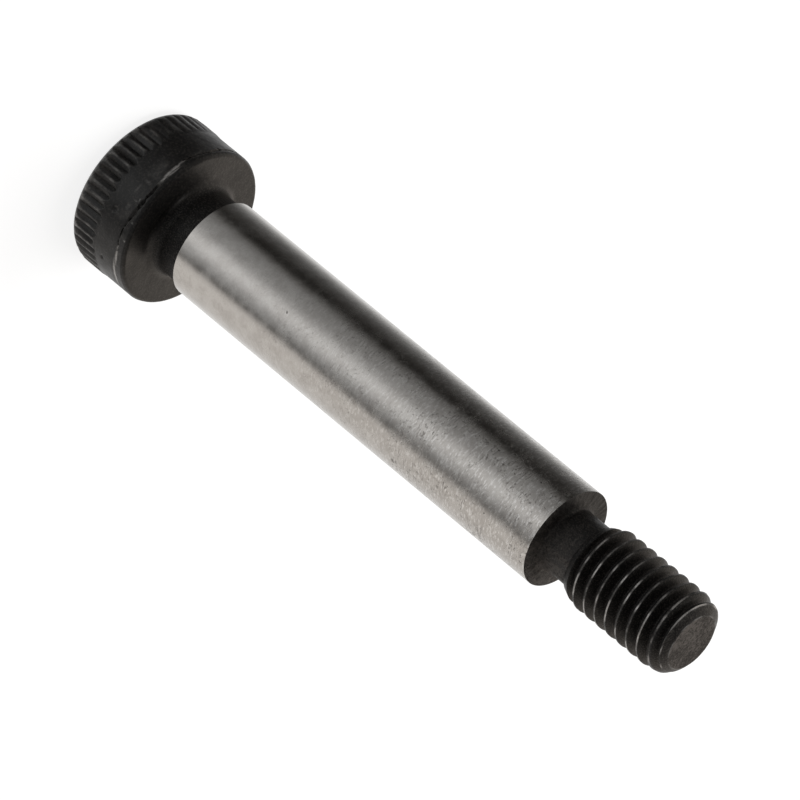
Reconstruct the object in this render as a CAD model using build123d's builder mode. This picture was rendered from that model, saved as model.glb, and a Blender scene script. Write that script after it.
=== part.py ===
from build123d import *

import math
import os

# Hexagon-socket shoulder bolt, turned and rolled from one piece of steel: a 6 mm shoulder by
# 30 mm, and an M5 x 0.8 thread.  Millimetres.
#
# It stands on its head, because on its side it would roll.  The origin is the centre of the
# head's flat top, which lies on the floor, Z = 0, and the bolt's axis is +Z, towards the
# thread.  A "station" is a distance along the axis from the bearing face under the head,
# positive towards the thread.

# Driving dimensions: head
head_diameter = 9.73  # plain band, next to the bearing face
head_height = 4.56
head_top_round = 0.85  # radius of the edge around the head's top
rim_break_length = 0.22  # chamfer around the bearing face, along the axis
rim_break_width = 0.10  # the same chamfer, across the axis
rim_break_round = 0.08  # radius between the plain band and that chamfer
rim_round = 0.18  # radius between the chamfer and the bearing face

# Driving dimensions: knurl
ridge_count = 51
ridge_rise = 0.055  # the rolled ridges stand this far above the plain band
groove_depth = 0.18  # below the tops of the ridges
groove_round = 0.16  # radius of the groove's section
plain_band_height = 2.3  # bearing face to the start of the knurl
knurl_phase = 5.9  # a groove's place around the axis, in degrees from +X
band_step_length = 0.4  # the knurl rises from the plain band over this length

# Driving dimensions: hexagon socket
socket_across_flats = 3.0
socket_depth = 2.45
socket_mouth_diameter = 3.8
socket_mouth_angle = 45  # side of the countersunk mouth, from the axis
socket_point_angle = 118  # drill point below the hexagon
socket_point_flat = 0.1  # diameter of the drill point's blunt end

# Driving dimensions: neck under the head, and shoulder
neck_diameter = 5.4
neck_length = 1.95  # bearing face to the start of the ground shoulder
neck_round = 0.6  # radius between the neck and the bearing face
shoulder_diameter = 6.0
shoulder_length = 30.0  # bearing face to the end of the shoulder
shoulder_start_break = 0.06

# Driving dimensions: relief groove after the shoulder
relief_diameter = 3.8
relief_length = 2.0
relief_round = 0.25

# Driving dimensions: thread
thread_diameter = 4.92  # over the crests
thread_root_diameter = 3.94
thread_pitch = 0.8
thread_length = 9.6  # end of the shoulder to the tip
thread_flank_angle = 30  # each flank, from a plane across the axis
thread_root_flat = 0.1
thread_phase = 328.5  # where the groove starts around the axis, in degrees from +X
lead_in_diameter = 4.2  # over the crests where the thread leaves the relief groove
lead_in_length = 0.08
run_up_length = 0.82  # the first crests grow to full size over this length

# Driving dimensions: tip
point_length = 1.19  # the last crests shrink over this length
point_diameter = 4.48  # where the tip's chamfer starts
point_chamfer_length = 0.36
point_flat_diameter = 3.34

# The thread's cutter stands this far out of the crests, and each cut runs into the next one
# by this part of a turn
cutter_clearance = 0.04
cut_overlap = 0.02


# Radii and stations that several features share
head_radius = head_diameter / 2
ridge_radius = head_radius + ridge_rise
shoulder_radius = shoulder_diameter / 2
root_radius = thread_root_diameter / 2
relief_end = shoulder_length + relief_length
run_up_start = relief_end + lead_in_length
tip_station = shoulder_length + thread_length
point_start = tip_station - point_length

# seat_plane is the bearing face.  profile_plane has the radius as its X, and the station as
# its Y.
seat_plane = Plane.XY.offset(head_height)
profile_plane = Plane(origin=seat_plane.origin, x_dir=(1, 0, 0), z_dir=(0, -1, 0))

# Outline of half the section: the radius and station of each corner, and the corner's round
outline = [
    (0, -head_height, 0),
    (ridge_radius, -head_height, head_top_round),
    (ridge_radius, -plain_band_height - band_step_length, 0),
    (head_radius, -plain_band_height, 0),
    (head_radius, -rim_break_length, rim_break_round),
    (head_radius - rim_break_width, 0, rim_round),
    (neck_diameter / 2, 0, neck_round),
    (neck_diameter / 2, neck_length, 0),
    (shoulder_radius - shoulder_start_break, neck_length, 0),
    (shoulder_radius, neck_length + shoulder_start_break, 0),
    (shoulder_radius, shoulder_length, 0),
    (relief_diameter / 2, shoulder_length, relief_round),
    (relief_diameter / 2, relief_end, 0),
    (lead_in_diameter / 2, run_up_start, 0),
    (thread_diameter / 2, run_up_start + run_up_length, 0),
    (thread_diameter / 2, point_start, 0),
    (point_diameter / 2, tip_station - point_chamfer_length, 0),
    (point_flat_diameter / 2, tip_station, 0),
    (0, tip_station, 0),
]

# The two cutters are drawn around the origin, with the bolt's axis along Z and the bearing
# face on Z = 0.  The plane of shoulder_bolt carries them to their place.

# One groove of the knurl: a round rod with a ball end, lying along the side of the head
with BuildPart(Plane.XY.offset(-plain_band_height - groove_round)) as groove_cutter:
    with Locations((ridge_radius - groove_depth + groove_round, 0, 0)):
        Sphere(groove_round)
        Cylinder(groove_round, head_height, align=(Align.CENTER, Align.CENTER, Align.MAX))

# Half a turn of the thread's groove: a V swept along a right-hand helix
groove_reach = thread_diameter / 2 - root_radius + cutter_clearance
root_half = thread_root_flat / 2
mouth_half = root_half + groove_reach * math.tan(math.radians(thread_flank_angle))
with BuildPart() as thread_cutter:
    with BuildLine() as helix:
        Helix(thread_pitch, (0.5 + cut_overlap) * thread_pitch, root_radius)
    with BuildSketch(Plane(origin=helix.line @ 0, x_dir=(1, 0, 0), z_dir=(0, 1, 0))):
        with BuildLine():
            Polyline(
                (0, -root_half),
                (groove_reach, -mouth_half),
                (groove_reach, mouth_half),
                (0, root_half),
                close=True,
            )
        make_face()
    sweep(path=helix.line, is_frenet=True)

# The thread's groove begins a turn before the end of the relief groove, and ends past the tip
groove_start = relief_end - thread_pitch
half_turns = 2 * math.ceil((tip_station - groove_start) / thread_pitch + 1)

with BuildPart(seat_plane) as shoulder_bolt:
    # Turned blank
    with BuildSketch(profile_plane):
        with BuildLine():
            FilletPolyline(
                *[(radius, station) for radius, station, corner in outline],
                radius=[corner for radius, station, corner in outline],
                close=True,
            )
        make_face()
    revolve(axis=Axis.Z)

    # Thread
    for half_turn in range(half_turns):
        station = groove_start + half_turn * thread_pitch / 2
        with Locations(Location((0, 0, station), (0, 0, thread_phase + 180 * half_turn))):
            add(thread_cutter.part, mode=Mode.SUBTRACT)

    # Knurl
    with PolarLocations(0, ridge_count, start_angle=knurl_phase):
        add(groove_cutter.part, mode=Mode.SUBTRACT)

    # Hexagon socket, with the drill point below it and the countersunk mouth
    with BuildSketch(seat_plane.offset(-head_height)):
        RegularPolygon(socket_across_flats / 2, 6, major_radius=False)
    extrude(amount=socket_depth, mode=Mode.SUBTRACT)
    for station, radius, angle in [
        (-head_height + socket_depth, socket_across_flats / 2, socket_point_angle / 2),
        (-head_height, socket_mouth_diameter / 2, socket_mouth_angle),
    ]:
        with Locations((0, 0, station)):
            Cone(
                radius,
                socket_point_flat / 2,
                (radius - socket_point_flat / 2) / math.tan(math.radians(angle)),
                align=(Align.CENTER, Align.CENTER, Align.MIN),
                mode=Mode.SUBTRACT,
            )

shoulder_bolt.part.label = "shoulder_bolt"
os.makedirs("parts", exist_ok=True)
export_step(shoulder_bolt.part, "parts/shoulder_bolt.step")
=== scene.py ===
import math
import random

import bpy
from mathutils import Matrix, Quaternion, Vector, noise


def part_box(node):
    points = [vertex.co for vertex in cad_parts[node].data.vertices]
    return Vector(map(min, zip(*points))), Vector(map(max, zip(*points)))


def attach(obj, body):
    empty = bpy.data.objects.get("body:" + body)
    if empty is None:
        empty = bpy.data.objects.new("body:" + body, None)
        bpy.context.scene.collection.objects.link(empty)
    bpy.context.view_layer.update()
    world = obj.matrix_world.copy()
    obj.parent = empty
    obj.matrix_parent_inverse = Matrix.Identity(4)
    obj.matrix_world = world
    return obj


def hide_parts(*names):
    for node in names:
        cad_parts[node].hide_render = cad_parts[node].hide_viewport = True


# A hexagon-socket shoulder bolt, M5 thread and 6 mm ground shoulder, standing on its head.
# Its whole skin is one mesh, built ring by ring around the Z axis.
#
# Sizes are in millimetres until Skin.mesh() turns them into metres.  A "station" is a
# distance along the axis from the bearing face under the head, positive towards the thread.

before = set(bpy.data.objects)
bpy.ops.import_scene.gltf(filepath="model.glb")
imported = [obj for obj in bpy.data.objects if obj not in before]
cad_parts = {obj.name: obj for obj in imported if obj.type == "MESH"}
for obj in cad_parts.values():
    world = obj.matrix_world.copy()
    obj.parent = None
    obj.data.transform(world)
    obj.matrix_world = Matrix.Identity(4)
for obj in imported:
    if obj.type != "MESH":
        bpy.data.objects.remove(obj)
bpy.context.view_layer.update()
lowest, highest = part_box("shoulder_bolt")
MM = 0.001

# Sizes: head, knurl and hexagon socket
head_radius = 4.865
head_height = 4.56
head_top_round = 0.85
rim_break_length = 0.22
rim_break_width = 0.10
rim_break_round = 0.08
rim_round = 0.18
ridge_count = 51
ridge_rise = 0.055
groove_depth = 0.18
groove_end = 0.24  # a groove runs out over this length, next to the plain band
plain_band_height = 2.3
band_step_length = 0.4
socket_half_width = 1.5
socket_depth = 2.45
socket_mouth_radius = 1.9
socket_point_angle = 118  # degrees

# Sizes: neck, shoulder and relief groove
neck_radius = 2.7
neck_length = 1.95
neck_round = 0.6
shoulder_radius = 3.0
shoulder_length = 30.0
shoulder_break = 0.06
relief_radius = 1.9
relief_length = 2.0
relief_round = 0.25

# Sizes: thread and tip
thread_radius = 2.46
root_radius = 1.97
pitch = 0.8
flank_angle = 30  # degrees
root_flat = 0.1
thread_phase = 328.5  # degrees
lead_in_radius = 2.1
lead_in_length = 0.08
run_up_length = 0.82
point_length = 1.19
point_radius = 2.24
point_chamfer_length = 0.36
flat_radius = 1.67

ridge_radius = head_radius + ridge_rise
tip_station = (highest.z - lowest.z) / MM - head_height
thread_start = shoulder_length + relief_length
point_start = tip_station - point_length

# Each groove of the knurl is a little shallower, and longer or shorter, than it should be
random.seed(1)
groove_changes = [
    (random.uniform(-0.01, 0.035), random.uniform(-0.10, 0.08)) for _ in range(ridge_count)
]

# Columns of points around the axis.  A ridge of the knurl has 12 of them, and a side of the
# hexagon socket has as many as there are ridges.
head_columns = 12 * ridge_count
socket_columns = 6 * ridge_count
shaft_columns = 160
groove_column = 10  # the middle of the knurl's first groove is on this column
groove_phase = 2 * math.pi * groove_column / head_columns

# Middles of sides, in degrees around the axis: of rubbing and scuffs, and of painted shade and
# light
rubbed_middle = 199  # the knurl is rubbed nearly smooth
scuffed_middle = 275  # the plain band has most of its scuffs
painted_shade_middle = 195  # painted shade: the thread's crests stay black around here, without bare steel
painted_light_middle = 342  # painted light: the shoulder's end face and the relief groove are greyest here, with painted shade opposite

# Finishes, in the order of the mesh's material slots.  The thread's black begins on the neck
# under the head, and the end face's black ends in the corner of the relief groove.
GROUND, OXIDE, THREAD_OXIDE, END_OXIDE = range(4)
neck_finish_start = 0.2
end_finish_length = 0.1


# ---------------------------------------------------------------- curves and profiles

def mix(a, b, share):
    return a + (b - a) * share


def ramp(low, high, value):
    """0 at low, 1 at high, and smooth between them.  low may be the larger one."""
    share = min(max((value - low) / (high - low), 0.0), 1.0)
    return share * share * (3 - 2 * share)


def run_out(start, length, value):
    """0 before the start, then a quarter of a circle up to 1, and 2 after its end."""
    share = (value - start) / length
    if share <= 0:
        return 0.0
    return 1 - math.sqrt(1 - share * share) if share < 1 else 2.0


def off_side(angle, middle):
    """How far around the axis a place is from the middle of a side, in degrees."""
    return abs(math.remainder(math.degrees(angle) - middle, 360))


def rough(angle, radius, station, size):
    """Smooth noise from -1 to 1 over the surface, with lumps of about that size.  At a fixed
    radius and station it only changes around the axis."""
    place = Vector((radius * math.cos(angle), radius * math.sin(angle), station)) / size
    return noise.noise(place)


def soft_min(a, b, reach):
    """The smaller of two numbers, rounded where they are nearer than reach."""
    near = max(reach - abs(a - b), 0.0) / reach
    return min(a, b) - near * near * reach / 4


def follow(corners, spacing, hold=0.03, arc_step=math.radians(12)):
    """Points along an outline of (radius, station, round) corners: a corner with a round
    becomes an arc, and a straight run is divided evenly.  A long run also has a point at the
    distance hold from each of its ends."""
    marks = []
    for k, (r, s, rounding) in enumerate(corners):
        here = Vector((r, s))
        if rounding == 0 or k in (0, len(corners) - 1):
            marks.append([here])
            continue
        back = (Vector(corners[k - 1][:2]) - here).normalized()
        ahead = (Vector(corners[k + 1][:2]) - here).normalized()
        half = back.angle(ahead) / 2
        centre = here + (back + ahead).normalized() * (rounding / math.sin(half))
        first = here + back * (rounding / math.tan(half)) - centre
        last = here + ahead * (rounding / math.tan(half)) - centre
        turn = first.angle_signed(last)
        steps = max(2, math.ceil(abs(turn) / arc_step))
        arc = []
        for step in range(steps + 1):
            at = -turn * step / steps
            arc.append(centre + Vector((
                first.x * math.cos(at) - first.y * math.sin(at),
                first.x * math.sin(at) + first.y * math.cos(at),
            )))
        marks.append(arc)
    points = list(marks[0])
    for before, after in zip(marks, marks[1:]):
        start, run = before[-1], after[0] - before[-1]
        steps = math.ceil(run.length / spacing)
        shares = [k / steps for k in range(1, steps)]
        if run.length > 3 * hold:
            shares = sorted({hold / run.length, *shares, 1 - hold / run.length})
        points += [start + run * share for share in shares]
        points += after
    return [(p.x, p.y) for p in points]


def rubbed_side(angle):
    """How much the knurl is rubbed away: 1 on one side of the head, and 0 elsewhere."""
    return ramp(46, 26, off_side(angle, rubbed_middle))


def knurl_radius(angle, station):
    """Radius of the knurl: a groove between narrow ridges, with a blunt end next to the plain
    band, rubbed nearly smooth on one side of the head."""
    grooves_on = (angle - groove_phase) / (2 * math.pi / ridge_count)
    shallower, longer = groove_changes[round(grooves_on) % ridge_count]
    from_middle = 2 * abs(grooves_on - round(grooves_on))
    depth = (groove_depth - shallower) * (1 - 0.7 * rubbed_side(angle))
    ran_out = run_out(-plain_band_height - groove_end + longer, groove_end, station)
    wall = mix(math.sin(from_middle * math.pi / 2), from_middle, 0.6)
    return ridge_radius - depth * (1 - wall - ran_out)


def turns_from_start(angle):
    """How far around the axis a place is from the start of the thread's groove, in turns."""
    return (angle - math.radians(thread_phase)) / (2 * math.pi)


def from_groove(angle, station):
    """Distance along the axis to the middle of the thread's nearest groove."""
    turns_on = (station - thread_start) / pitch - turns_from_start(angle)
    return abs(turns_on - round(turns_on)) * pitch


def thread_groove(angle, station):
    """Radius of the thread's V groove, rounded at its root, and shallow where it starts."""
    flank_width = from_groove(angle, station) - root_flat / 2
    rise = flank_width / math.tan(math.radians(flank_angle))
    filled = 0.4 * ramp(thread_start + 0.45, thread_start + 0.05, station)
    return root_radius + filled - soft_min(-rise, 0.0, 0.06)


# Outline over the thread's crests: station and radius
thread_envelope = [
    (thread_start, relief_radius),
    (thread_start + lead_in_length, lead_in_radius),
    (thread_start + lead_in_length + run_up_length, thread_radius),
    (point_start, thread_radius),
    (tip_station - point_chamfer_length, point_radius),
    (tip_station, flat_radius),
]


def over_crests(station):
    """Radius of the thread over its crests."""
    for (s0, r0), (s1, r1) in zip(thread_envelope, thread_envelope[1:]):
        if station <= s1:
            return mix(r0, r1, max(station - s0, 0) / (s1 - s0))
    return flat_radius


# ---------------------------------------------------------------- dents and wear

# Knocks on the head's rim and side: angle in degrees, station, half the length around the
# head, half the width, depth, and how much of the black is gone
knocks = [
    (257, -0.42, 0.34, 0.06, 0.020, 0.7),
    (251, -0.48, 0.30, 0.08, 0.030, 0.9),
    (245, -0.50, 0.34, 0.07, 0.025, 0.8),
    (239, -0.56, 0.26, 0.05, 0.020, 0.5),
    (248, -0.34, 0.45, 0.05, 0.015, 0.5),
    (278, -0.84, 0.04, 0.11, 0.020, 0.25),
    (276, -0.68, 0.10, 0.04, 0.010, 0.25),
    (291, -0.30, 0.04, 0.10, 0.020, 0.22),
    (305, -0.30, 0.05, 0.08, 0.030, 0.55),
    (312, -0.62, 0.12, 0.05, 0.020, 0.6),
    (320, -0.60, 0.60, 0.08, 0.010, 0.7),
    (337, -0.74, 1.15, 0.08, 0.010, 0.8),
    (271, -1.20, 0.30, 0.06, 0.004, 0.12),
    (284, -1.05, 0.22, 0.10, 0.004, 0.12),
    (264, -0.95, 0.10, 0.25, 0.004, 0.10),
    (291, -1.70, 0.17, 0.15, 0.110, 0.0),
    (330, -1.75, 0.13, 0.11, 0.070, 0.0),
    (62, -0.60, 0.35, 0.08, 0.030, 0.9),
    (128, -0.62, 0.25, 0.07, 0.030, 0.8),
]


def knocked(angle, station):
    """How deep the head's surface is knocked in at a place, and how bare it is there."""
    depth = bare_and_sheen = 0.0
    for degrees, at, half_length, half_width, deep, rubbed_and_sheen in knocks:
        around = math.remainder(angle - math.radians(degrees), 2 * math.pi) * head_radius
        away = (around / half_length) ** 2 + ((station - at) / half_width) ** 2
        near = math.exp(-away * away)
        depth += deep * near
        bare_and_sheen = max(bare_and_sheen, rubbed_and_sheen * near)
    return depth, bare_and_sheen


# Cracks and creases that wander along the rim: from an angle and a station to another angle
# and station, half the width, and depth
cracks = [
    (256, -0.34, 274, -0.38, 0.11, 0.13),
    (272, -0.38, 292, -0.58, 0.16, 0.16),
    (289, -0.56, 303, -0.70, 0.05, 0.08),
    (301, -0.70, 316, -0.54, 0.05, 0.08),
    (184, -0.34, 206, -0.46, 0.08, 0.13),
    (204, -0.46, 218, -0.38, 0.09, 0.14),
    (216, -0.38, 238, -0.62, 0.08, 0.12),
    (48, -0.62, 66, -0.50, 0.06, 0.08),
    (120, -0.66, 150, -0.58, 0.07, 0.10),
]


def cracked(angle, station):
    """Depth of the cracks at a place on the head's side."""
    deepest = 0.0
    for first, start, last, end, half_width, deep in cracks:
        share = (math.degrees(angle) % 360 - first) / (last - first)
        if 0 < share < 1:
            wander = 0.05 * rough(angle, head_radius, 0, 0.35)
            reach = half_width * (0.8 + 0.5 * rough(angle, head_radius, 5, 0.2))
            reach *= min(6 * share, 6 * (1 - share), 1.0)
            off = abs(station - mix(start, end, share) - wander)
            deepest = max(deepest, deep * max(1 - off / reach, 0.0))
    return deepest


# ---------------------------------------------------------------- the skin

class Skin:
    """The points and triangles of one closed surface around the Z axis."""

    def __init__(self):
        self.points = []
        # For each point: bare steel for wear and for painted highlights, and grey skin for dull
        # patches and for painted light and shade
        self.wear_and_sheen = []
        self.dulled_and_lit = []
        self.triangles = []
        self.finishes = []

    def point(self, angle, radius, station, wear_and_sheen=0.0, dulled_and_lit=0.0):
        x, y = radius * math.cos(angle), radius * math.sin(angle)
        self.points.append((x, y, station + head_height))
        self.wear_and_sheen.append(wear_and_sheen)
        self.dulled_and_lit.append(dulled_and_lit)
        return len(self.points) - 1

    def ring(self, columns, place):
        """One point for each column, at the place that place(angle) gives."""
        angles = [2 * math.pi * k / columns for k in range(columns)]
        return [self.point(angle, *place(angle)) for angle in angles]

    def face(self, corners, finish):
        self.triangles.append(corners)
        self.finishes.append(finish)

    def bridge(self, lower, upper, finish):
        """Joins two rings, which may have different numbers of points."""
        m, n = len(lower), len(upper)
        i = j = 0
        while i < m or j < n:
            if j == n or (i < m and (i + 1) * n <= (j + 1) * m):
                self.face((lower[i], lower[(i + 1) % m], upper[j % n]), finish)
                i += 1
            else:
                self.face((lower[i % m], upper[(j + 1) % n], upper[j]), finish)
                j += 1

    def bridge_all(self, rings, finish):
        for lower, upper in zip(rings, rings[1:]):
            self.bridge(lower, upper, finish)

    def zip_columns(self, left, right, finish):
        """Joins two columns of points side by side, whose points are in order of height."""
        i = j = 0
        while i < len(left) - 1 or j < len(right) - 1:
            left_next = self.points[left[i + 1]][2] if i < len(left) - 1 else math.inf
            right_next = self.points[right[j + 1]][2] if j < len(right) - 1 else math.inf
            if left_next <= right_next:
                self.face((left[i], right[j], left[i + 1]), finish)
                i += 1
            else:
                self.face((left[i], right[j], right[j + 1]), finish)
                j += 1

    def mesh(self, name):
        mesh = bpy.data.meshes.new(name)
        base = lowest.z
        points = [(x * MM, y * MM, z * MM + base) for x, y, z in self.points]
        mesh.from_pydata(points, [], self.triangles)
        mesh.polygons.foreach_set("material_index", self.finishes)
        mesh.polygons.foreach_set("use_smooth", [True] * len(self.triangles))
        for label, values in (("wear_and_sheen", self.wear_and_sheen), ("dulled_and_lit", self.dulled_and_lit)):
            mesh.attributes.new(label, "FLOAT", "POINT").data.foreach_set("value", values)
        mesh.update()
        mesh.set_sharp_from_angle(angle=math.radians(40))
        return mesh


def hexagon(angle):
    """Radius of the hexagon socket's wall."""
    sixth = math.pi / 3
    return socket_half_width / math.cos(angle % sixth - sixth / 2)


def make_socket(skin):
    """The hexagon socket, from its drill point out to its mouth.  Returns the mouth's ring."""
    top, floor = -head_height, -head_height + socket_depth
    point_height = socket_half_width / math.tan(math.radians(socket_point_angle / 2))
    apex = skin.point(0, 0, floor + point_height)
    rings = []
    for share in (0.25, 0.5, 0.75, 0.98):
        r, s = share * socket_half_width, floor + (1 - share) * point_height
        rings.append(skin.ring(socket_columns, lambda angle: (r, s)))
    for k, point in enumerate(rings[0]):
        skin.face((apex, rings[0][(k + 1) % socket_columns], point), OXIDE)
    wall_gap = 0.04  # the floor's last ring is this close to the wall
    rings.append(skin.ring(socket_columns, lambda angle: (socket_half_width, floor)))
    rings.append(skin.ring(socket_columns, lambda angle: (hexagon(angle) - wall_gap, floor)))

    def wall(share):
        def place(angle):
            r = hexagon(angle)
            return r, mix(floor, top + socket_mouth_radius - r, share)
        return place

    rings += [skin.ring(socket_columns, wall(share)) for share in (0, 0.05, 0.5, 0.95, 1)]

    def mouth(share):
        def place(angle):
            r = mix(hexagon(angle), socket_mouth_radius, share)
            return r, top + socket_mouth_radius - r, 0.3 * ramp(0.8, 1, share)
        return place

    rings += [skin.ring(socket_columns, mouth(share)) for share in (0.15, 0.5, 0.9)]
    skin.bridge_all(rings, OXIDE)
    return rings[-1]


def make_head(skin, inner):
    """The head's outside, from the socket's mouth to the bearing face."""
    step_start = -plain_band_height - band_step_length
    step_end = -plain_band_height
    step_margin = 0.1  # the step's rings reach this far past both its ends
    rim_start = -1.0  # from here on, the rings are close enough for cracks and knocks
    side = [
        (socket_mouth_radius - 0.02, -head_height + 0.02, 0),  # a small break at the mouth's edge
        (socket_mouth_radius + 0.03, -head_height, 0),
        (ridge_radius, -head_height, head_top_round),
        (ridge_radius, step_start - step_margin, 0),
    ]
    step = [
        (ridge_radius, step_start - step_margin, 0),
        (ridge_radius, step_start, 0.3),
        (head_radius, step_end, 0.3),
        (head_radius, step_end + step_margin, 0),
    ]
    band = [
        (head_radius, step_end + step_margin, 0),
        (head_radius, rim_start, 0),
    ]
    rim = [
        (head_radius, rim_start, 0),
        (head_radius, -rim_break_length, rim_break_round),
        (head_radius - rim_break_width, 0, rim_round),
        (head_radius - rim_break_width - 0.3, 0, 0),
    ]
    previous = inner
    outline = follow(side, 0.16)
    for corners, spacing in ((step, 0.07), (band, 0.12), (rim, 0.055)):
        outline += follow(corners, spacing)[1:]
    for r, s in outline:
        on_top = s < -head_height + 0.001
        if on_top and r - socket_mouth_radius > 0.1 and r < ridge_radius - head_top_round - 0.1:
            continue  # the flat top needs no points inside it

        def place(angle):
            if s < step_end + 0.02:
                # Knurl: worn on its ridges, and painted grey deep in its grooves near the head's
                # top, a painted reflection
                radius = soft_min(r, knurl_radius(angle, s), 0.02)
                on_ridge = ramp(0.04, 0.0, r - radius)
                in_groove = ramp(0.03, 0.10, r - radius)
                patchy = max(0.5 + rough(angle, r, s, 0.5), 0.0)
                wear_and_sheen = 0.42 * on_ridge * patchy * ramp(-2.4, -2.8, s)
                wear_and_sheen *= (1 - 0.9 * rubbed_side(angle)) * ramp(-4.5, -4.0, s)
                # Painted reflection: the deep grooves turn grey towards the head's top
                dulled_and_lit = 0.5 * in_groove * ramp(-3.0, -4.0, s)
                radius += 0.006 * rough(angle, r, s, 0.3)
                return radius, s, wear_and_sheen, dulled_and_lit
            # Plain band and rim: knocked, cracked, and scuffed in patches towards the rim
            depth, bare_and_sheen = knocked(angle, s)
            patchy = ramp(0.0, 0.4, rough(angle, r, s, 1.1))
            scuffed = 0.10 * patchy * ramp(-1.8, -0.6, s) * ramp(-0.30, -0.42, s)
            scuffed *= mix(1.0, 0.2, ramp(38, 60, off_side(angle, scuffed_middle)))
            wear_and_sheen = min(bare_and_sheen + scuffed, 1.0)
            radius = r - depth - cracked(angle, s) + 0.006 * rough(angle, r, s, 0.35)
            return radius, s, wear_and_sheen, 0.0

        ring = skin.ring(head_columns, place)
        skin.bridge(previous, ring, OXIDE)
        previous = ring
    return previous


# Painted highlights, as bare steel, on the fillet between the neck and the bearing face: angle in
# degrees, radius, half the length around the neck, half the width, and how much
painted_neck_highlights = [
    (254, 2.97, 0.50, 0.07, 0.22),
    (310, 3.08, 0.70, 0.16, 0.16),
    (110, 3.00, 0.60, 0.10, 0.18),
]


def painted_neck_highlight(angle, radius):
    """How much painted highlight, as bare steel, the corner between the neck and the bearing face
    has.
    """
    bare_and_sheen = 0.0
    for degrees, at, half_length, half_width, rubbed_and_sheen in painted_neck_highlights:
        around = math.remainder(angle - math.radians(degrees), 2 * math.pi) * at
        away = (around / half_length) ** 2 + ((radius - at) / half_width) ** 2
        bare_and_sheen = max(bare_and_sheen, rubbed_and_sheen * math.exp(-away))
    return bare_and_sheen if radius > neck_radius + 0.001 else 0.0


def make_neck(skin, outer):
    """The bearing face and the neck, up to the ground shoulder."""
    corners = [
        (head_radius - rim_break_width - 0.5, 0, 0),
        (neck_radius, 0, neck_round),
        (neck_radius, neck_length, 0),
        (shoulder_radius - shoulder_break, neck_length, 0),
    ]
    previous = outer
    for r, s in follow(corners, 0.15):
        columns = socket_columns if s < 0.01 else shaft_columns

        def place(angle):
            # The fillet gets painted highlights, as patches of bare steel
            return r, s + 0.004 * rough(angle, r, s, 0.3), painted_neck_highlight(angle, r)

        ring = skin.ring(columns, place)
        skin.bridge(previous, ring, OXIDE if s < neck_finish_start else THREAD_OXIDE)
        previous = ring
    return previous


def make_shoulder(skin, start):
    """The ground shoulder."""
    corners = [
        (shoulder_radius - shoulder_break, neck_length, 0),
        (shoulder_radius, neck_length + shoulder_break, 0.04),
        (shoulder_radius, shoulder_length, 0),
    ]
    rings = [start]
    for r, s in follow(corners, 2.0)[1:]:
        rings.append(skin.ring(shaft_columns, lambda angle: (r, s)))
    skin.bridge_all(rings, GROUND)
    return rings[-1]


def make_relief(skin, start):
    """The shoulder's end face, with faint spokes, and the relief groove behind the thread."""
    corners = [
        (shoulder_radius, shoulder_length, 0),
        (relief_radius, shoulder_length, relief_round),
        (relief_radius, thread_start - 0.02, 0),
    ]
    previous = start
    for r, s in follow(corners, 0.15)[1:]:

        def place(angle):
            spokes = rough(angle, shoulder_radius, 0, 0.22) * ramp(2.1, 2.5, r)
            lump = 0.014 * rough(angle, r, s, 0.25) + 0.032 * spokes
            lump *= ramp(shoulder_radius, 2.8, r)
            # Painted light and shade: greyer and a little bare on one side, black on the other
            greyer = math.cos(angle - math.radians(painted_light_middle))
            patchy = 1 + 0.9 * rough(angle, r, 3, 0.35)
            dulled_and_lit = max(0.20 + 0.72 * greyer, 0.02) * patchy
            wear_and_sheen = 0.05 * ramp(0.0, 0.9, greyer)
            return r + lump * ramp(0, 0.1, s - shoulder_length), s + lump, wear_and_sheen, dulled_and_lit

        ring = skin.ring(shaft_columns, place)
        on_end = s < shoulder_length + end_finish_length
        skin.bridge(previous, ring, END_OXIDE if on_end else THREAD_OXIDE)
        previous = ring
    return previous


def make_thread(skin, start):
    """The thread.  Its points lie on lines that follow the helix, so its crests are smooth."""
    end = tip_station - point_chamfer_length
    margin = 0.008  # no point of a row is nearer than this to the first or the last ring
    to_crest = [0.0, 0.05, 0.1, 0.18, 0.27, 0.325, 0.345, 0.37]  # from the groove's middle
    from_crest = [pitch - along for along in reversed(to_crest[1:])]
    rows = [*to_crest, pitch / 2, *from_crest]

    def place(angle, station):
        radius = soft_min(over_crests(station), thread_groove(angle, station), 0.03)
        crest = ramp(0.335, 0.375, from_groove(angle, station))
        crest *= ramp(thread_start + 0.75, thread_start + 1.05, station)
        nick = max(rough(angle, radius, station, 0.22), 0.0)
        patchy = 0.35 + 1.9 * rough(angle, radius, station, 0.6)
        # Painted shade: on one side of the bolt the crests get no bare steel, so they stay black
        painted_shade = ramp(60, 25, off_side(angle, painted_shade_middle))
        wear_and_sheen = crest * min(max(patchy, 0.12), 1.0) * (1 - 0.85 * painted_shade)
        return radius - 0.02 * crest * nick, station, wear_and_sheen

    last = skin.ring(shaft_columns, lambda angle: place(angle, end))
    turns = math.ceil((end - thread_start) / pitch) + 1
    columns = []
    for k in range(shaft_columns):
        angle = 2 * math.pi * k / shaft_columns
        column = [start[k]]
        for turn in range(-1, turns):
            for row in rows:
                station = thread_start + (turn + turns_from_start(angle)) * pitch + row
                if thread_start + margin < station < end - margin:
                    column.append(skin.point(angle, *place(angle, station)))
        columns.append(column + [last[k]])
    for k in range(shaft_columns):
        skin.zip_columns(columns[k], columns[(k + 1) % shaft_columns], THREAD_OXIDE)
    return last


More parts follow.
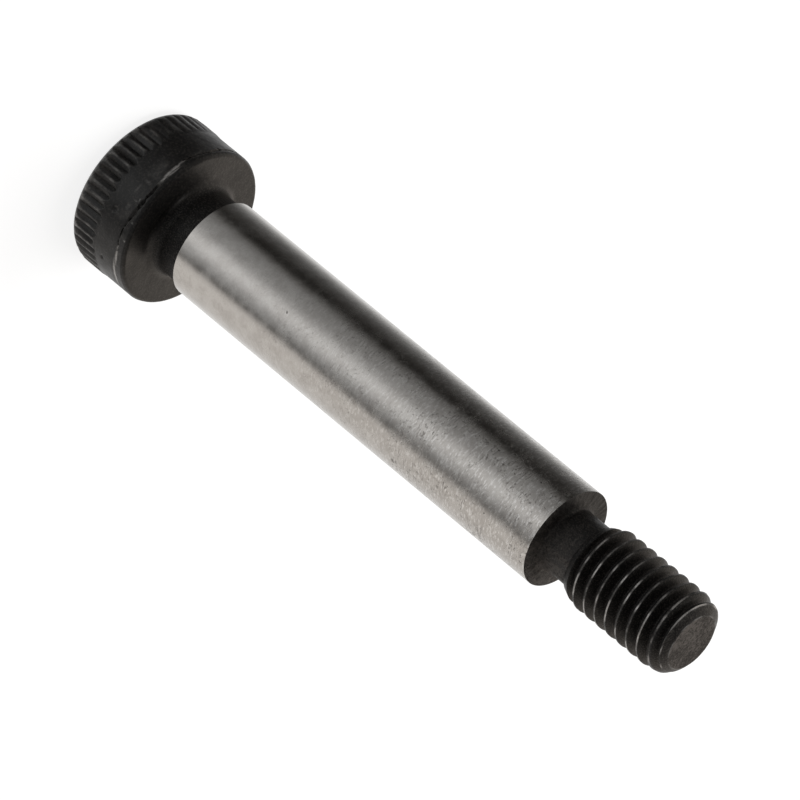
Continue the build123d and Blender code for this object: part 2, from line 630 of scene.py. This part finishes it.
def make_tip(skin, start):
    """The chamfer of the tip, with the end of the thread's groove, and the rough flat face."""
    bright_bits = [(259, 9), (312, 14)]  # on the chamfer: angle and half the width, in degrees
    hollow = 0.012  # the flat face is this far inside the chamfer's edge
    rings = [start]
    for share in (0.03, 0.08, 0.13, 0.18, 0.3, 0.45, 0.6, 0.75, 0.88, 0.95, 1.0):
        station = tip_station - (1 - share) * point_chamfer_length

        def place(angle):
            over, groove = over_crests(station), thread_groove(angle, station)
            radius = soft_min(over, groove, 0.04)
            chamfer_edge = ramp(0.19, 0.10, share) + 0.35 * ramp(0.86, 1.0, share)
            chamfer_edge *= ramp(-0.03, 0.0, groove - over)
            edge = max(chamfer_edge, ramp(0.05, 0.0, abs(groove - over)))
            patchy = 0.35 + 1.2 * rough(angle, radius, station, 0.5)
            for middle, half_width in bright_bits:
                away = off_side(angle, middle) / half_width
                patchy += math.exp(-away * away)
            lump = 0.008 * rough(angle, radius, station, 0.12) * ramp(0.1, 0.3, share)
            return radius + lump, station, edge * min(max(patchy, 0.12), 1.0), 0.12

        rings.append(skin.ring(shaft_columns, place))
    for share in (0.97, 0.9, 0.8, 0.68, 0.54, 0.4, 0.26, 0.12):
        r = share * flat_radius

        def flat(angle):
            return r, tip_station - hollow + 0.012 * rough(angle, r, 0, 0.3), 0.0, 1.0

        rings.append(skin.ring(shaft_columns, flat))
    skin.bridge_all(rings, THREAD_OXIDE)
    centre = skin.point(0, 0, tip_station - hollow, 0.0, 1.0)
    for k, point in enumerate(rings[-1]):
        skin.face((point, rings[-1][(k + 1) % shaft_columns], centre), THREAD_OXIDE)


# ---------------------------------------------------------------- materials

def node(tree, kind, inputs=None, **settings):
    """Adds a node.  An input is a value, or the output that feeds it."""
    made = tree.nodes.new(kind)
    for name, value in settings.items():
        setattr(made, name, value)
    for name, value in (inputs or {}).items():
        if isinstance(value, bpy.types.NodeSocket):
            tree.links.new(value, made.inputs[name])
        else:
            made.inputs[name].default_value = value
    return made


def math_node(tree, operation, *values):
    made = node(tree, "ShaderNodeMath", dict(enumerate(values)), operation=operation)
    return made.outputs[0]


def scaled_place(tree, x, y, z):
    """The point on the bolt, in millimetres times a factor for each direction."""
    place = node(tree, "ShaderNodeTexCoord").outputs["Object"]
    factors = (x / MM, y / MM, z / MM)
    inputs = {"Vector": place, "Scale": factors}
    return node(tree, "ShaderNodeMapping", inputs).outputs["Vector"]


def noise_node(tree, vector, detail=3.0, roughness=0.55, scale=1.0):
    inputs = {"Vector": vector, "Scale": scale, "Detail": detail, "Roughness": roughness}
    return node(tree, "ShaderNodeTexNoise", inputs).outputs["Fac"]


def remap(tree, value, low, high, new_low, new_high):
    """Turns low to high into new_low to new_high, smoothly, and holds the ends."""
    inputs = {"Value": value, 1: low, 2: high, 3: new_low, 4: new_high}
    made = node(tree, "ShaderNodeMapRange", inputs, interpolation_type="SMOOTHSTEP")
    return made.outputs[0]


def blend(tree, share, a, b):
    """A colour between a and b."""
    made = node(tree, "ShaderNodeMix", data_type="RGBA")
    for index, value in ((0, share), (6, a), (7, b)):
        if isinstance(value, bpy.types.NodeSocket):
            tree.links.new(value, made.inputs[index])
        else:
            made.inputs[index].default_value = value
    return made.outputs[2]


def surface(name):
    """A new material's node tree and its Principled shader."""
    material = bpy.data.materials.new(name)
    material.use_nodes = True
    tree = material.node_tree
    return material, tree, tree.nodes["Principled BSDF"]


def bump(tree, height, distance, normal=None):
    """A normal for bumps that are distance millimetres high, on top of another normal."""
    inputs = {"Height": height, "Distance": distance * MM, "Strength": 1.0}
    if normal:
        inputs["Normal"] = normal
    return node(tree, "ShaderNodeBump", inputs).outputs["Normal"]


# Dark spots on the ground shoulder: angle in degrees, station, and radius
stains = [
    (331.0, 19.75, 0.15),
    (272.8, 9.88, 0.08),
    (240.7, 28.17, 0.10),
    (264.9, 28.62, 0.08),
    (304.5, 26.61, 0.09),
    (251.7, 25.86, 0.12),
    (242.8, 25.03, 0.09),
    (95.0, 14.2, 0.12),
    (151.0, 22.8, 0.10),
]


def ground_steel():
    """Bright ground steel: softly blotched, with stains, and with specks and streaks around
    it, more and more towards the thread."""
    dark_steel = (0.52, 0.501, 0.478, 1)
    pale_steel = (0.61, 0.592, 0.568, 1)
    tarnish = (0.14, 0.11, 0.08, 1)
    bright_stroke = (0.78, 0.765, 0.745, 1)
    stain_colour = (0.10, 0.09, 0.08, 1)

    material, tree, shader = surface("ground_steel")
    blotches = noise_node(tree, scaled_place(tree, 1.5, 1.5, 1.3), 3.0, 0.6)
    mottle = noise_node(tree, scaled_place(tree, 5, 5, 6), 4.0, 0.7)
    strokes = noise_node(tree, scaled_place(tree, 3, 3, 8), 4.0, 0.7)
    streaks = noise_node(tree, scaled_place(tree, 1.6, 1.6, 14), 3.0, 0.6)
    clusters = noise_node(tree, scaled_place(tree, 0.9, 0.9, 0.6), 2.0, 0.5)
    height = node(tree, "ShaderNodeSeparateXYZ", {0: scaled_place(tree, 1, 1, 1)}).outputs[2]
    towards_thread = remap(tree, height, 8, 32, 0.12, 1.0)
    crowded = math_node(tree, "MULTIPLY", towards_thread, remap(tree, clusters, 0.38, 0.62, 0.1, 1))

    dark = math_node(tree, "MULTIPLY", remap(tree, mottle, 0.55, 0.65, 0.0, 1.0), crowded)
    dashes = math_node(tree, "MULTIPLY", remap(tree, streaks, 0.58, 0.67, 0.0, 1.0), crowded)
    dark = math_node(tree, "MAXIMUM", dark, math_node(tree, "MULTIPLY", dashes, 0.8))
    place = node(tree, "ShaderNodeTexCoord").outputs["Object"]
    ragged = remap(tree, mottle, 0.3, 0.7, 0.5, 1.8)
    for degrees, station, radius in stains:
        angle = math.radians(degrees)
        centre = Vector((math.cos(angle), math.sin(angle), 0)) * shoulder_radius * MM
        centre.z = lowest.z + (head_height + station) * MM
        inputs = {0: place, 1: tuple(centre)}
        away = node(tree, "ShaderNodeVectorMath", inputs, operation="DISTANCE").outputs["Value"]
        away = math_node(tree, "MULTIPLY", away, ragged)
        stain = remap(tree, away, 0.5 * radius * MM, radius * MM, 1.0, 0.0)
        dark = math_node(tree, "MAXIMUM", dark, stain)

    colour = blend(tree, remap(tree, blotches, 0.35, 0.65, 0, 1), dark_steel, pale_steel)
    colour = blend(tree, math_node(tree, "MULTIPLY", towards_thread, 0.14), colour, tarnish)
    light = math_node(tree, "MULTIPLY", remap(tree, strokes, 0.50, 0.36, 0.0, 0.8), towards_thread)
    colour = blend(tree, light, colour, bright_stroke)
    colour = blend(tree, math_node(tree, "MULTIPLY", dark, 0.75), colour, stain_colour)

    rougher = math_node(tree, "MULTIPLY", towards_thread, 0.02)
    roughness = math_node(tree, "ADD", remap(tree, blotches, 0.3, 0.7, 0.17, 0.27), rougher)

    uneven = math_node(tree, "MULTIPLY", mottle, remap(tree, height, 8, 32, 0.4, 1.0))
    brushed = math_node(tree, "MULTIPLY", strokes, towards_thread)
    pits = math_node(tree, "MULTIPLY", dark, -1.0)
    normal = bump(tree, blotches, 0.0035)
    normal = bump(tree, streaks, 0.0015, normal)
    normal = bump(tree, uneven, 0.004, normal)
    normal = bump(tree, brushed, 0.004, normal)
    normal = bump(tree, pits, 0.005, normal)
    shader.inputs["Metallic"].default_value = 1.0
    tree.links.new(colour, shader.inputs["Base Color"])
    tree.links.new(roughness, shader.inputs["Roughness"])
    tree.links.new(normal, shader.inputs["Normal"])
    return material


def black_oxide(name, specular, lumps, grains, grey_grain):
    """Black oxide with greyer grains.  The attribute for wear and painted highlights blends it to
    bare steel, and the one for dull skin and painted light and shade to a grey, rougher and lumpier
    skin.
    lumps is the height of the grains in millimetres, grains is about how many there are to a
    millimetre, and grey_grain is how light they are."""
    deep_black = (0.004, 0.004, 0.0045, 1)
    soft_black = (0.012, 0.0115, 0.011, 1)
    grain_colour = (grey_grain, 0.93 * grey_grain, 0.85 * grey_grain, 1)
    dark_grey = (0.022, 0.0195, 0.018, 1)
    light_grey = (0.115, 0.104, 0.096, 1)
    bare_steel = (0.60, 0.585, 0.57, 1)

    material, tree, shader = surface(name)
    shader.inputs["Specular IOR Level"].default_value = specular
    wear_and_sheen = node(tree, "ShaderNodeAttribute", attribute_name="wear_and_sheen").outputs["Fac"]
    dulled_and_lit = node(tree, "ShaderNodeAttribute", attribute_name="dulled_and_lit").outputs["Fac"]
    cloud = noise_node(tree, scaled_place(tree, 0.8, 0.8, 0.8), 4.0, 0.6)
    grain = noise_node(tree, scaled_place(tree, grains, grains, grains), 3.0, 0.65)
    mottle = noise_node(tree, scaled_place(tree, 6, 6, 6), 5.0, 0.7)
    black = blend(tree, cloud, deep_black, soft_black)
    black = blend(tree, remap(tree, grain, 0.48, 0.66, 0.0, 0.7), black, grain_colour)
    fine = math_node(tree, "MULTIPLY", mottle, 0.6)
    coarse = math_node(tree, "MULTIPLY", cloud, 0.4)
    patches = remap(tree, math_node(tree, "ADD", fine, coarse), 0.41, 0.61, 0.0, 1.0)
    grey = blend(tree, patches, dark_grey, light_grey)
    colour = blend(tree, dulled_and_lit, black, grey)
    bare_and_sheen = math_node(tree, "MULTIPLY", wear_and_sheen, remap(tree, grain, 0.35, 0.6, 0.6, 1.0))
    colour = blend(tree, bare_and_sheen, colour, bare_steel)

    roughness = remap(tree, cloud, 0.3, 0.7, 0.32, 0.44)
    roughness = math_node(tree, "ADD", roughness, math_node(tree, "MULTIPLY", dulled_and_lit, 0.25))
    roughness = math_node(tree, "SUBTRACT", roughness, math_node(tree, "MULTIPLY", bare_and_sheen, 0.12))

    normal = bump(tree, grain, lumps)
    normal = bump(tree, math_node(tree, "MULTIPLY", mottle, dulled_and_lit), 0.06, normal)
    normal = bump(tree, cloud, 0.03, normal)
    tree.links.new(colour, shader.inputs["Base Color"])
    tree.links.new(roughness, shader.inputs["Roughness"])
    tree.links.new(math_node(tree, "MULTIPLY", bare_and_sheen, 0.7), shader.inputs["Metallic"])
    tree.links.new(normal, shader.inputs["Normal"])
    return material


def white_floor():
    """Plain white for the camera, with a soft shadow left in it."""
    material, tree, shader = surface("floor")
    shader.inputs["Base Color"].default_value = (0.85, 0.85, 0.85, 1)
    shader.inputs["Roughness"].default_value = 0.9
    shader.inputs["Specular IOR Level"].default_value = 0.0
    white = node(tree, "ShaderNodeEmission", {"Color": (1, 1, 1, 1), "Strength": 0.85})
    shaded = node(tree, "ShaderNodeBsdfDiffuse", {"Color": (0.3, 0.3, 0.3, 1)})
    seen = node(tree, "ShaderNodeAddShader", {0: white.outputs[0], 1: shaded.outputs[0]})
    camera_ray = node(tree, "ShaderNodeLightPath").outputs["Is Camera Ray"]
    inputs = {0: camera_ray, 1: shader.outputs[0], 2: seen.outputs[0]}
    mixed = node(tree, "ShaderNodeMixShader", inputs)
    output = tree.nodes["Material Output"]
    tree.links.new(mixed.outputs[0], output.inputs["Surface"])
    return material


# ---------------------------------------------------------------- studio

def make_floor():
    half = 1.5  # of its side, in metres
    mesh = bpy.data.meshes.new("floor")
    corners = [(-half, -half), (half, -half), (half, half), (-half, half)]
    mesh.from_pydata([(x, y, lowest.z) for x, y in corners], [], [(0, 1, 2, 3)])
    mesh.materials.append(white_floor())
    floor = bpy.data.objects.new("floor", mesh)
    bpy.context.scene.collection.objects.link(floor)
    floor.visible_glossy = False  # the steel mirrors the studio instead


def make_studio():
    """The world: white to the camera, and for light and reflections a ring of soft grey cards,
    which the metal mirrors.  Each list gives the cards by bearing from -Y, in degrees towards
    +X, with their brightness and warmth: one list for what lies below the horizon, and one for
    what lies above it.  The zenith is dark."""
    zenith = (0.04, 0.04, 0.04, 1)
    world = bpy.data.worlds.new("studio")
    bpy.context.scene.world = world
    world.use_nodes = True
    tree = world.node_tree
    direction = node(tree, "ShaderNodeTexCoord").outputs["Generated"]
    x, y, z = node(tree, "ShaderNodeSeparateXYZ", {0: direction}).outputs
    bearing = math_node(tree, "ARCTAN2", x, math_node(tree, "MULTIPLY", y, -1.0))
    share = math_node(tree, "ADD", math_node(tree, "DIVIDE", bearing, 2 * math.pi), 0.5)

    def around(stops):
        made = node(tree, "ShaderNodeValToRGB", {"Fac": share})
        made.color_ramp.interpolation = "B_SPLINE"
        elements = made.color_ramp.elements
        elements[0].position, elements[-1].position = 0.0, 1.0
        for degrees, _, _ in stops[1:-1]:
            elements.new((degrees + 180) / 360)
        for element, (degrees, level, warmth) in zip(elements, stops):
            element.position = (degrees + 180) / 360
            element.color = (level, level * (1 - warmth / 2), level * (1 - warmth), 1)
        return made.outputs["Color"]

    below = around([
        (-180, 1.0, 0), (-152, 0.95, 0), (-143, 0.62, 0), (-128, 0.26, 0), (-114, 0.12, 0),
        (-100, 0.07, 0.05), (-86, 0.035, 0.1), (-74, 0.015, 0.1), (-66, 0.04, 0.1),
        (-59, 0.14, 0.05), (-52, 0.22, 0), (-44, 0.28, 0), (-32, 0.32, 0), (-20, 0.38, 0),
        (-9, 0.56, 0), (2, 0.84, 0), (12, 0.92, 0), (23, 0.74, 0), (34, 0.48, 0),
        (46, 0.32, 0), (54, 0.08, 0.05), (60, 0.38, 0.06), (66, 0.80, 0.07), (78, 0.82, 0.08),
        (100, 0.76, 0.08), (125, 0.78, 0.07), (145, 0.88, 0.03), (180, 1.0, 0),
    ])
    above = around([
        (-180, 1.0, 0.2), (-120, 0.8, 0.2), (-60, 0.2, 0), (0, 0.05, 0), (60, 0.3, 0),
        (120, 0.8, 0.2), (180, 1.0, 0.2),
    ])
    cards = blend(tree, remap(tree, z, -0.15, 0.15, 0.0, 1.0), below, above)
    cards = blend(tree, remap(tree, z, 0.6, 0.9, 0.0, 1.0), cards, zenith)
    path = node(tree, "ShaderNodeLightPath").outputs
    cards = blend(tree, path["Is Camera Ray"], cards, (1, 1, 1, 1))
    seen = math_node(tree, "MAXIMUM", path["Is Glossy Ray"], path["Is Transmission Ray"])
    seen = math_node(tree, "MAXIMUM", path["Is Camera Ray"], seen)
    background = tree.nodes["Background"]
    tree.links.new(cards, background.inputs["Color"])
    tree.links.new(remap(tree, seen, 0.0, 1.0, 0.8, 1.0), background.inputs["Strength"])


def make_lamp(name, place, target, size, watts):
    """A soft round lamp that neither the camera nor a reflection sees."""
    lamp = bpy.data.lights.new(name, "AREA")
    lamp.shape = "DISK"
    lamp.size = size
    lamp.energy = watts
    holder = bpy.data.objects.new(name, lamp)
    holder.location = place
    holder.rotation_mode = "QUATERNION"
    holder.rotation_quaternion = (Vector(target) - holder.location).to_track_quat("-Z", "Y")
    holder.visible_camera = False
    holder.visible_glossy = False
    bpy.context.scene.collection.objects.link(holder)


def make_camera():
    """Looks down at the bolt from -Y, rolled so that the bolt's head is at the upper left and
    its tip at the lower right.  Lengths are in metres, and the lens in millimetres."""
    elevation, roll = math.radians(29.66), math.radians(129.49)
    distance, lens = 0.39057, 329.32
    target = Vector((-0.00009, 0, lowest.z + 0.021516))
    back = Vector((0, -math.cos(elevation), math.sin(elevation)))
    camera = bpy.data.cameras.new("camera")
    camera.lens = lens
    camera.sensor_width = 36
    holder = bpy.data.objects.new("camera", camera)
    holder.location = target + back * distance
    holder.rotation_mode = "QUATERNION"
    upright = (-back).to_track_quat("-Z", "Y")
    holder.rotation_quaternion = upright @ Quaternion((0, 0, 1), roll)
    camera.clip_start, camera.clip_end = 0.01, 10
    bpy.context.scene.collection.objects.link(holder)
    bpy.context.scene.camera = holder


skin = Skin()
mouth_ring = make_socket(skin)
rim_ring = make_head(skin, mouth_ring)
neck_ring = make_neck(skin, rim_ring)
end_ring = make_shoulder(skin, neck_ring)
relief_ring = make_relief(skin, end_ring)
thread_ring = make_thread(skin, relief_ring)
make_tip(skin, thread_ring)

bolt = bpy.data.objects.new("bolt", skin.mesh("bolt"))
bpy.context.scene.collection.objects.link(bolt)
for material in (
    ground_steel(),
    black_oxide("head_oxide", specular=0.38, lumps=0.008, grains=7, grey_grain=0.040),
    black_oxide("thread_oxide", specular=0.25, lumps=0.02, grains=12, grey_grain=0.075),
    black_oxide("end_oxide", specular=0.18, lumps=0.02, grains=12, grey_grain=0.035),
):
    bolt.data.materials.append(material)
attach(bolt, "root")
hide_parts("shoulder_bolt")

make_floor()
make_studio()
make_lamp("overhead", place=(-0.10, 0.12, 0.40), target=(0, 0, 0.02), size=0.25, watts=1.0)
make_camera()
bpy.context.scene.view_settings.view_transform = "Standard"
